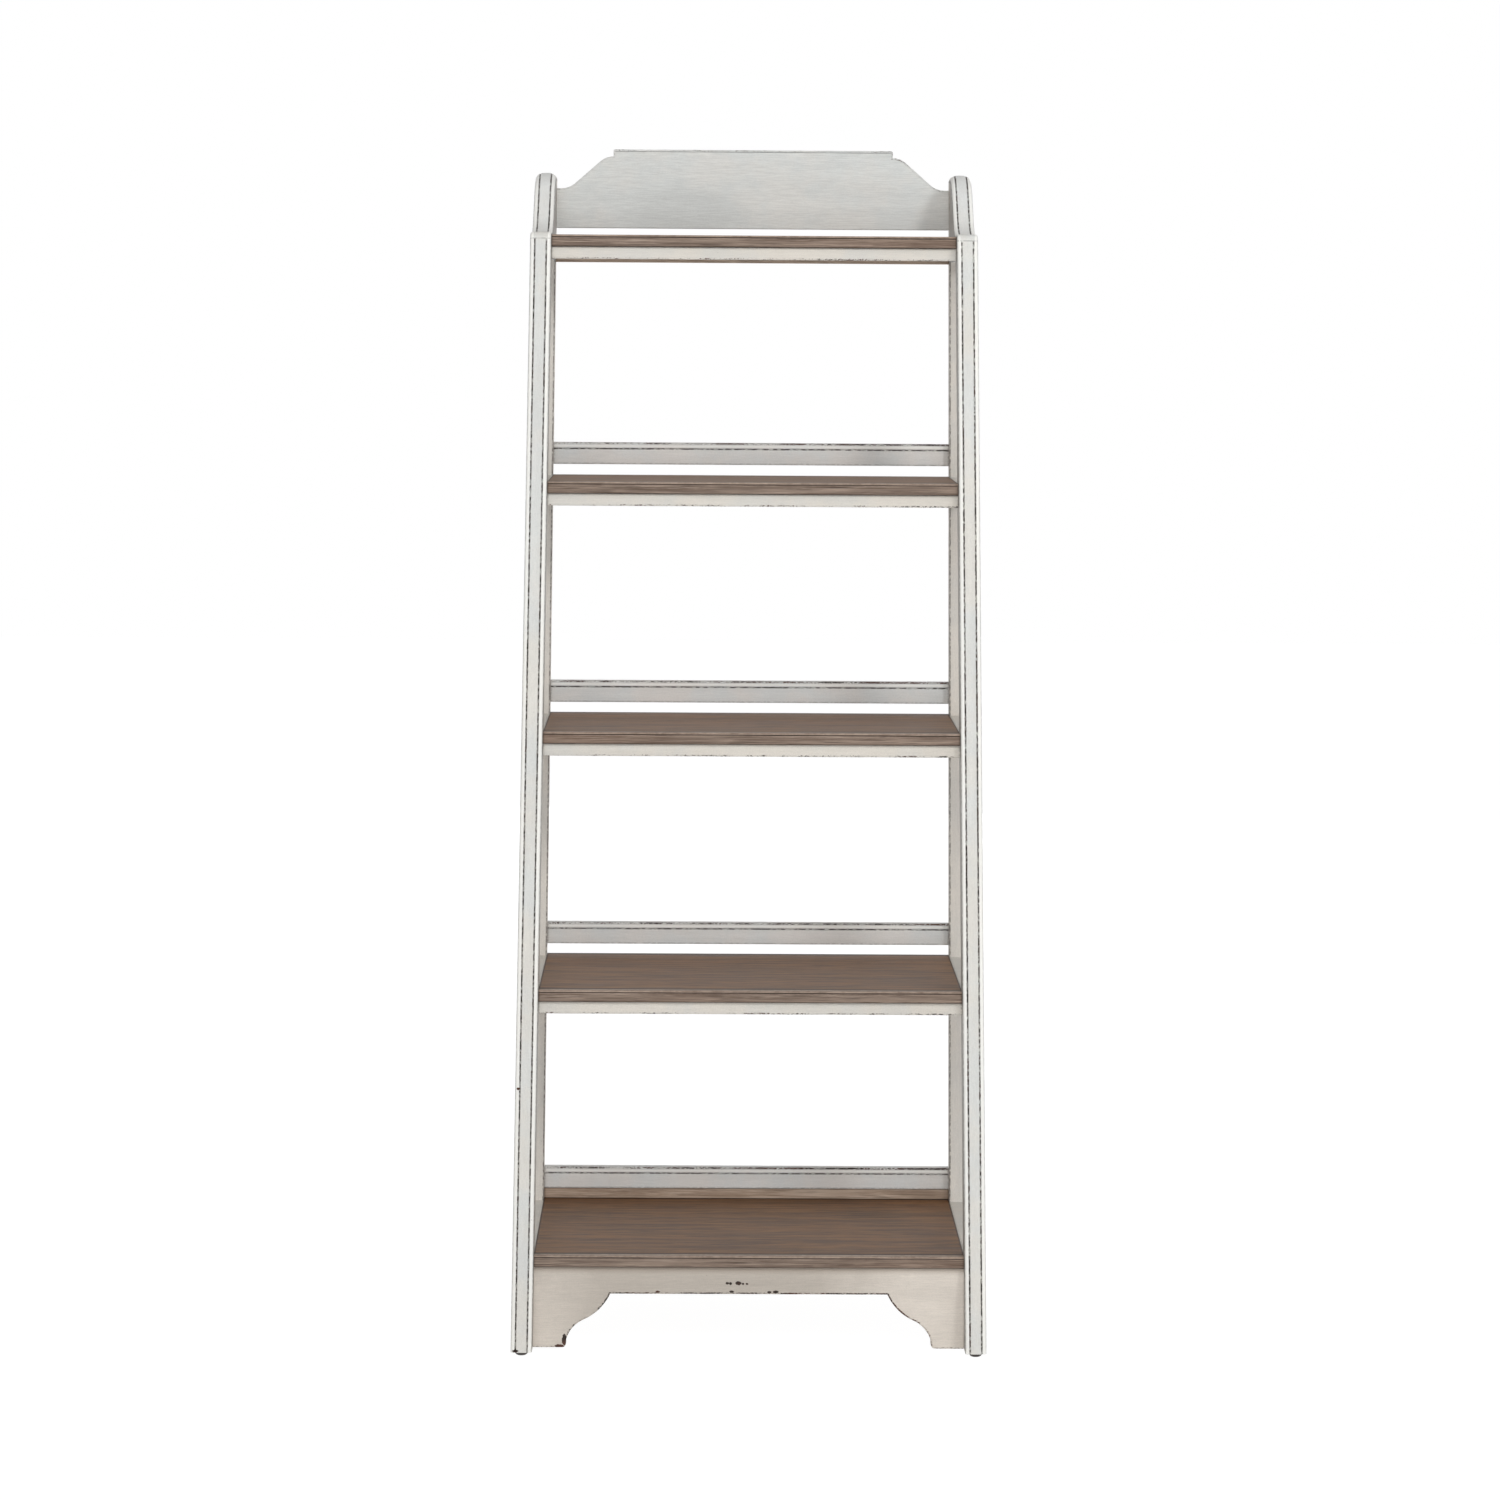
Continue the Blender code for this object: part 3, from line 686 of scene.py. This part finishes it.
# A brighter copy of the paint: painted light on the ears' faces, which slope up towards the top light
EAR_PAINT_LIT = paint_material("paint_ears_lit", Z, (239, 238, 234), (235, 236, 234))
RAIL_PAINT = paint_material("paint_rails", X, (226, 220, 210), (220, 217, 210), worn_share=(0.44, 0.585))
GALLERY_PAINT = paint_material(
    "paint_gallery", X, (232, 229, 225), (226, 228, 227), worn_share=(0.47, 0.575),
)
PANEL_PAINT = paint_material(
    "paint_crest", X, (236, 236, 232), (230, 233, 231), streaks=0.16, worn_share=(0.43, 0.57),
    greyer_spots=[(-0.11, 1.83, 0.13, 0.06)],
)
APRON_PAINT = paint_material(
    "paint_apron", X, (240, 231, 220), (206, 197, 186), streaks=0.12, clouding=0.3, worn_share=(0.46, 0.62),
    # The second list of spots is painted shadow along the apron's top, under the board's overhang
    greyer_spots=[(-0.08, 0.12, 0.38, 0.30)], painted_shadows=[(0.0, 0.141, 2.0, 0.016)],
    chipped=[
        (-0.0345, 0.1125, 0.0050, 0.0035),
        (-0.0295, 0.1118, 0.0040, 0.0040),
        (-0.0165, 0.1125, 0.0080, 0.0055),
        (-0.0095, 0.1115, 0.0035, 0.0030),
        (-0.0030, 0.1115, 0.0035, 0.0030),
        (-0.0275, 0.0985, 0.0060, 0.0035),
        (0.0330, 0.0980, 0.0060, 0.0030),
        (0.0430, 0.0985, 0.0085, 0.0040),
        (-0.2310, 0.0740, 0.0060, 0.0150),
        (-0.2960, 0.0190, 0.0070, 0.0160),
        (-0.3040, 0.0085, 0.0130, 0.0050),
        (-0.1463, 0.0982, 0.0060, 0.0032),
    ],
)
BOARD_WOOD = wood_material("wood_boards", (158, 122, 88), (119, 84, 52), (75, 52, 34), figures=80)
EDGE_WOOD = wood_material("wood_edges", (172, 154, 140), (140, 123, 110), (102, 86, 75), figures=190)
STRIP_WOOD = wood_material("wood_strip", (216, 198, 181), (194, 174, 156), (163, 143, 126), figures=90)
BARE_WOOD = bare_wood_material()
PLASTIC = plastic_material()
STEEL = steel_material()


# Side frames


def side_place(side):
    return lambda through, y, z: (side * (outer_half(z) - through), y, z)


def add_front_stile(label, side):
    bottom, top = STILE[0].z, STILE[1].z
    slope = math.atan(LEAN)
    turn = math.pi / 2 - slope
    reach = LEDGE_RADIUS * math.tan(turn / 2)
    corner = Vector((stile_front(top), top))
    below = corner - reach * Vector((math.sin(slope), math.cos(slope)))
    behind = corner + Vector((reach, 0))
    foot = Vector((stile_front(bottom), bottom))
    up = (corner - foot).normalized()
    cap = [below + up * step for step in (-CAP_LINE, 0, CAP_LINE)]
    cap += arc_between(below + up * 2 * CAP_LINE, behind, -turn)
    cap.append(Vector((stile_back(top), top)))
    outline, kinds = joined_sides(
        ("moulded", [foot, cap[0]]),
        ("capped", cap),
        ("round", [cap[-1], (stile_back(bottom), bottom)]),
        ("square", [(stile_back(bottom), bottom), foot]),
    )

    def cap_line(point, through):
        """The shape that lowers nothing and darkens the line below the ledge."""
        return 0, Mark(glaze=0.55) if (point - below).length < CAP_LINE / 2 else PLAIN

    node = f"{label}_front_stile"
    rows = moulded_rows(STILE_WIDTH, haze=STILE_INNER_SHADE)
    add_slab(node, outline, kinds, rows, side_place(side), STILE_PAINT, cap_line)


def add_back_leg(label, side):
    (_, front, bottom), (_, back, top) = LEG
    outline, kinds = joined_sides(
        ("moulded", [(front, top), (back, top)]),
        ("round", [(back, top), (back, bottom)]),
        ("square", [(back, bottom), (front, bottom)]),
        ("round", [(front, bottom), (front, top)]),
    )
    node = f"{label}_back_leg"
    rows = moulded_rows(STILE_WIDTH)
    add_slab(node, outline, kinds, rows, side_place(side), LEG_PAINT, crown(top))


def add_ear_panel(label, side):
    node = f"{label}_ear_panel"
    (_, _, bottom), (_, back, top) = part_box(node)
    ledge = STILE[1].z
    sweep = ogee((stile_back(ledge) + GAP, ledge), (back, top), EAR_STEEPNESS)
    outline, kinds = joined_sides(
        ("moulded", sweep),
        ("square", [(back, top), (back, bottom)]),
        ("round", [(back, bottom), (stile_back(bottom) + GAP, bottom)]),
        ("square", [(stile_back(bottom) + GAP, bottom), sweep[0]]),
    )
    rows = moulded_rows(STILE_WIDTH, haze=EAR_INNER_SHADE)
    add_slab(node, outline, kinds, rows, side_place(side), EAR_PAINT_LIT, crown(top, sweep[0]))


def add_side_rail(label, side, number):
    node = f"{label}_side_rail_{number}"
    low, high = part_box(node)
    bottom, top = low.z, high.z
    outline, kinds = joined_sides(
        ("round", [(stile_back(bottom) + GAP, bottom), (high.y, bottom)]),
        ("square", [(high.y, bottom), (high.y, top)]),
        ("round", [(high.y, top), (stile_back(top) + GAP, top)]),
        ("square", [(stile_back(top) + GAP, top), (stile_back(bottom) + GAP, bottom)]),
    )
    widest = max(abs(low.x), abs(high.x))
    outer_inset = outer_half(bottom) - widest
    rows = round_rows(outer_inset, STILE_WIDTH, RAIL_ROUNDING, Mark(0.2, 0.5), RAIL_WEAR_REACH)
    add_slab(node, outline, kinds, rows, side_place(side), RAIL_PAINT)


# Shelves and rails


def add_board(number):
    node = f"shelf_board_{number}"
    (_, front, bottom), (_, back, top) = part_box(node)
    corners = [
        Corner(front, bottom),
        Corner(back, bottom, BOARD_ROUNDING, Mark(glaze=0.4), 0.0010),
        Corner(back, top, BOARD_ROUNDING, Mark(glaze=0.4, wear=0.2), 0.0010),
        Corner(back - BOARD_BACK_LINE, top, 0, Mark(glaze=1), BOARD_BACK_SHADE),
        Corner(front, top, FINE_ROUNDING, Mark(glaze=1), BOARD_JOINT_SHADE),
    ]
    add_bar(node, corners, BOARD_WOOD, end_glaze=1.0)


def add_nosing(number):
    node = f"shelf_nosing_{number}"
    (_, front, bottom), (_, back, top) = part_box(node)
    groove_top, groove_bottom = (top - depth for depth in NOSING_GROOVE)
    quarter = (groove_top - groove_bottom) / 4
    corners = [
        Corner(back, top, NOSING_JOINT_ROUNDING, Mark(glaze=1), NOSING_JOINT_SHADE),
        Corner(front + NOSING_RUB_HIGHLIGHT, top, 0, Mark(wear=1), NOSING_RUB_HIGHLIGHT_REACH),
        Corner(front + NOSING_STEP, top, NOSING_BEAD, Mark(wear=0.8), 0.0003),
        Corner(front + NOSING_STEP, groove_top, 0, Mark(glaze=0.4), 0),
        Corner(front + NOSING_GROOVE_DEPTH, groove_top - quarter, 0, Mark(glaze=1), 0),
        Corner(front + NOSING_GROOVE_DEPTH, groove_bottom + quarter, 0, Mark(glaze=1), 0),
        Corner(front, groove_bottom, NOSING_LIP, Mark(wear=0.5), 0.0006),
        Corner(front, bottom, NOSING_FOOT, Mark(glaze=0.8), NOSING_FOOT),
        Corner(back, bottom),
    ]
    add_bar(node, corners, EDGE_WOOD, end_glaze=0.6)


def add_rail(node, wear, material):
    (_, front, bottom), (_, back, top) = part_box(node)
    corners = [
        Corner(front, top, RAIL_ROUNDING, Mark(glaze=0.15), 0.001),
        Corner(back, top, RAIL_ROUNDING),
        Corner(back, bottom, RAIL_ROUNDING, Mark(0.1, wear), RAIL_WEAR_REACH),
        Corner(front, bottom, RAIL_ROUNDING, Mark(0.05, wear), RAIL_WEAR_REACH),
    ]
    add_bar(node, corners, material, end_glaze=0.5)


def add_gallery_rail(number):
    node = f"gallery_rail_{number}"
    (_, front, bottom), (_, back, top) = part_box(node)
    groove = top - GALLERY_GROOVE
    corners = [
        Corner(back, bottom, RAIL_ROUNDING, Mark(wear=0.4), RAIL_WEAR_REACH),
        Corner(front, bottom, RAIL_ROUNDING, Mark(0.3, 0.4), 0.002),
        Corner(front, groove - GROOVE_WIDTH / 2, 0, Mark(0.7, 0.3), 0.0005),
        Corner(front + GROOVE_DEPTH, groove - GROOVE_WIDTH / 4, 0, Mark(1, 0.7), 0),
        Corner(front + GROOVE_DEPTH, groove + GROOVE_WIDTH / 4, 0, Mark(1, 0.7), 0),
        # painted highlight (the light marks) above the groove and along the top
        Corner(front, groove + GROOVE_WIDTH / 2, 0, Mark(0.6, 0.5, 0.4), 0.0005),
        Corner(front, top - GALLERY_HIGHLIGHT, 0, Mark(light=0.9), 0.002),
        Corner(front, top, GALLERY_ROUNDING, Mark(0.2, 1.0, 0.2), 0.0004),
        Corner(back, top, RAIL_ROUNDING, Mark(wear=0.7), 0.002),
    ]
    add_bar(node, corners, GALLERY_PAINT, end_glaze=0.4)


def add_base_strip():
    node = "base_back_strip"
    (_, front, bottom), (_, back, top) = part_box(node)
    corners = [
        Corner(front, bottom, 0, Mark(glaze=1), 0.0015),
        Corner(back, bottom),
        Corner(back, top),
        Corner(front, top, FINE_ROUNDING, Mark(glaze=0.4), 0.001),
    ]
    add_bar(node, corners, STRIP_WOOD, end_glaze=0.6)


# Crest and apron


def mirrored(half):
    return list(half) + [Vector((-p[0], p[1])) for p in reversed(half)]


def add_panel(node, half_outline, end, middle, closing, material, mark):
    """A flat panel, mirrored about x = 0.

    end is the first point of its upright end, which meets the side frame. middle and closing say how
    the sides that cross x = 0 are finished, after the half outline's last point and before its first.
    """
    edges = ["square" if i == end else "round" for i in range(len(half_outline) - 1)]
    edges = edges + [middle] + edges[::-1] + [closing]
    outline = mirrored([Vector(p) for p in half_outline])
    following = outline[1:] + outline[:1]
    stretches = [(kind, [start, stop]) for kind, start, stop in zip(edges, outline, following)]
    (_, front, _), (_, back, _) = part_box(node)
    rows = round_rows(0, back - front, PANEL_ROUNDING, mark, PANEL_WEAR_REACH)
    outline, kinds = joined_sides(*stretches)
    place = lambda through, x, z: (x, front + through, z)
    add_slab(node, outline, kinds, rows, place, material)


def add_crest():
    (_, _, bottom), (_, _, top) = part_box("crest_panel")
    end_top = bottom + CREST_END_HEIGHT
    step = inner_half(end_top) - CREST_SHOULDER
    end = inner_half(end_top) - GAP
    outline = [(inner_half(bottom) - GAP, bottom), (end, end_top)]
    outline += ogee((end - CREST_END_FLAT, end_top), (step, top - CREST_STEP), CREST_STEEPNESS)
    outline += arc_between((step, top - CREST_CORNER), (step - CREST_CORNER, top), math.pi / 2, CORNER_STEPS)
    add_panel("crest_panel", outline, 0, "round", "eased", PANEL_PAINT, Mark(0.1, 0.8))


def add_apron():
    (_, _, bottom), (_, _, top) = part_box("apron")
    foot = inner_half(bottom) - FOOT_WIDTH
    ankle = (foot - ANKLE[0], bottom + ANKLE[1])
    bracket = (foot - BRACKET[0], bottom + BRACKET[1])
    arch = (foot - ARCH_CORNER, bottom + ARCH_HEIGHT)
    heel = (foot - ANKLE[0] + FOOT_CORNER, bottom)
    outline = arc_between(arch, bracket, ARCH_TURN)
    outline += arc_between(bracket, ankle, -ANKLE_TURN)[1:]
    outline += arc_between((ankle[0], bottom + FOOT_CORNER), heel, math.pi / 2, CORNER_STEPS)
    outline += [(inner_half(bottom) - GAP, bottom), (inner_half(top) - GAP, top)]
    add_panel("apron", outline, len(outline) - 2, "eased", "round", APRON_PAINT, Mark(0.05, 0.95))


# Hardware


def add_glide(place):
    """A domed foot on a threaded stem."""
    node = f"glide_{place}"
    low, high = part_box(node)
    centre = (low + high) / 2
    radius = (high.x - low.x) / 2
    shoulder = STILE[0].z - GAP
    profile = arc_between((GLIDE_FLAT_RADIUS, 0), (radius, GLIDE_RIM), math.pi / 3)
    profile += [(radius, shoulder - GLIDE_EDGE), (radius - GLIDE_EDGE, shoulder), (STEM_RADIUS, shoulder)]
    turns = int((high.z - shoulder) / THREAD_PITCH)
    for i in range(turns):
        z = shoulder + THREAD_PITCH * i
        root = (STEM_RADIUS - THREAD_DEPTH, z + THREAD_PITCH / 4)
        profile += [root, (STEM_RADIUS, z + THREAD_PITCH * 3 / 4)]
    profile.append((STEM_RADIUS - THREAD_DEPTH, high.z))
    bm, _ = new_marked()
    rings = []
    for r, z in profile:
        ring = []
        for i in range(ROUND_SEGMENTS):
            a = 2 * math.pi * i / ROUND_SEGMENTS
            ring.append(bm.verts.new((centre.x + r * math.cos(a), centre.y + r * math.sin(a), z)))
        rings.append(ring)
    skin(bm, rings)
    mesh_object(node + "_finished", bm, PLASTIC, node, body=node)


# Studio

FLOOR_REACH = 14.0
FLOOR_WHITE = (0.88, 0.88, 0.88, 1)
FLOOR_GLOW = 1.13
FLOOR_GLOW_SHARE = 0.86  # for the background rays. The rest is the lit floor, with its shadow.
WHITE = (1, 1, 1, 1)
SOFT_LIGHT = 0.32
SENSOR_WIDTH = 36.0

# Each lamp's name, place, aim, width and watts
LAMPS = [
    ("key", (3.1, -4.6, 3.9), (0, 0, 1.2), 1.4, 92),
    ("high_fill", (-0.9, -7.0, 5.6), (0, 0, 1.0), 5.0, 200),
    ("low_fill", (0.3, -7.5, 0.7), (0, 0, 0.6), 3.0, 105),
    ("left_fill", (-6.0, 0.5, 1.2), (0, 0, 1.0), 4.0, 32),
    ("right_fill", (6.0, 0.5, 1.2), (0, 0, 1.0), 4.0, 40),
    ("back_fill", (0.6, 7.0, 1.0), (0, 0, 1.0), 4.0, 210),
]


def background_rays(nodes, links):
    """1 for the rays that should see a white studio: from the camera, and through gloss and glass."""
    path = nodes.new("ShaderNodeLightPath")
    first, both = nodes.new("ShaderNodeMath"), nodes.new("ShaderNodeMath")
    first.operation = both.operation = "MAXIMUM"
    links.new(path.outputs["Is Camera Ray"], first.inputs[0])
    links.new(path.outputs["Is Glossy Ray"], first.inputs[1])
    links.new(first.outputs[0], both.inputs[0])
    links.new(path.outputs["Is Transmission Ray"], both.inputs[1])
    return both.outputs[0]


def add_floor():
    mesh = bpy.data.meshes.new("floor")
    ways = ((-1, -1), (1, -1), (1, 1), (-1, 1))
    corners = [(FLOOR_REACH * x, FLOOR_REACH * y, 0) for x, y in ways]
    mesh.from_pydata(corners, [], [(0, 1, 2, 3)])
    floor = bpy.data.objects.new("floor", mesh)
    bpy.context.scene.collection.objects.link(floor)
    material = bpy.data.materials.new("floor_white")
    material.use_nodes = True
    nodes, links = material.node_tree.nodes, material.node_tree.links
    matt = nodes["Principled BSDF"]
    matt.inputs["Base Color"].default_value = FLOOR_WHITE
    matt.inputs["Roughness"].default_value = 1.0
    matt.inputs["Specular IOR Level"].default_value = 0.0
    glow = nodes.new("ShaderNodeEmission")
    glow.inputs["Strength"].default_value = FLOOR_GLOW
    share = nodes.new("ShaderNodeMath")
    share.operation = "MULTIPLY"
    share.inputs[1].default_value = FLOOR_GLOW_SHARE
    mix = nodes.new("ShaderNodeMixShader")
    links.new(background_rays(nodes, links), share.inputs[0])
    links.new(share.outputs[0], mix.inputs[0])
    links.new(matt.outputs[0], mix.inputs[1])
    links.new(glow.outputs[0], mix.inputs[2])
    links.new(mix.outputs[0], nodes["Material Output"].inputs["Surface"])
    mesh.materials.append(material)


def add_world():
    world = bpy.data.worlds.new("studio")
    bpy.context.scene.world = world
    world.use_nodes = True
    nodes, links = world.node_tree.nodes, world.node_tree.links
    soft = nodes["Background"]
    soft.inputs["Color"].default_value = WHITE
    soft.inputs["Strength"].default_value = SOFT_LIGHT
    seen = nodes.new("ShaderNodeBackground")
    seen.inputs["Color"].default_value = WHITE
    mix = nodes.new("ShaderNodeMixShader")
    links.new(background_rays(nodes, links), mix.inputs[0])
    links.new(soft.outputs[0], mix.inputs[1])
    links.new(seen.outputs[0], mix.inputs[2])
    links.new(mix.outputs[0], nodes["World Output"].inputs["Surface"])


def add_lamp(name, place, aim, size, watts):
    light = bpy.data.lights.new(name, "AREA")
    light.shape = "DISK"
    light.size = size
    light.energy = watts
    lamp = bpy.data.objects.new(name, light)
    bpy.context.scene.collection.objects.link(lamp)
    lamp.location = place
    lamp.visible_camera = lamp.visible_glossy = False
    lamp.rotation_euler = (Vector(aim) - Vector(place)).to_track_quat("-Z", "Y").to_euler()


def add_camera():
    camera = bpy.data.objects.new("camera", bpy.data.cameras.new("camera"))
    bpy.context.scene.collection.objects.link(camera)
    camera.data.sensor_width = SENSOR_WIDTH
    camera.data.lens = CAMERA_LENS
    turn = Matrix.Rotation(-CAMERA_YAW, 4, "Z") @ Matrix.Rotation(math.pi / 2 + CAMERA_PITCH, 4, "X")
    camera.matrix_world = Matrix.Translation(CAMERA_PLACE) @ turn @ Matrix.Rotation(CAMERA_ROLL, 4, "Z")
    bpy.context.scene.camera = camera


def dress_cad_nodes():
    """The inserts, dowels and glue blocks keep their CAD shape and take these materials."""
    for name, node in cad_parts.items():
        if name.startswith("insert"):
            look = STEEL
        elif name.startswith("dowel") or name.endswith("glue_block"):
            look = BARE_WOOD
        else:
            continue
        node.data.materials.clear()
        node.data.materials.append(look)


for label, side in SIDES.items():
    add_front_stile(label, side)
    add_back_leg(label, side)
    add_ear_panel(label, side)
    for number in range(1, 5):
        add_side_rail(label, side, number)
for number in range(1, 6):
    add_board(number)
    add_nosing(number)
    add_rail(f"rear_rail_{number}", 0, STRIP_WOOD)
for number in range(2, 6):
    add_rail(f"front_rail_{number}", RAIL_WEAR, RAIL_PAINT)
for number in range(1, 5):
    add_gallery_rail(number)
add_base_strip()
add_crest()
add_apron()
for place in ("front_left", "front_right", "back_left", "back_right"):
    add_glide(place)
dress_cad_nodes()

add_floor()
add_world()
for lamp in LAMPS:
    add_lamp(*lamp)
add_camera()
bpy.context.scene.view_settings.view_transform = "Standard"
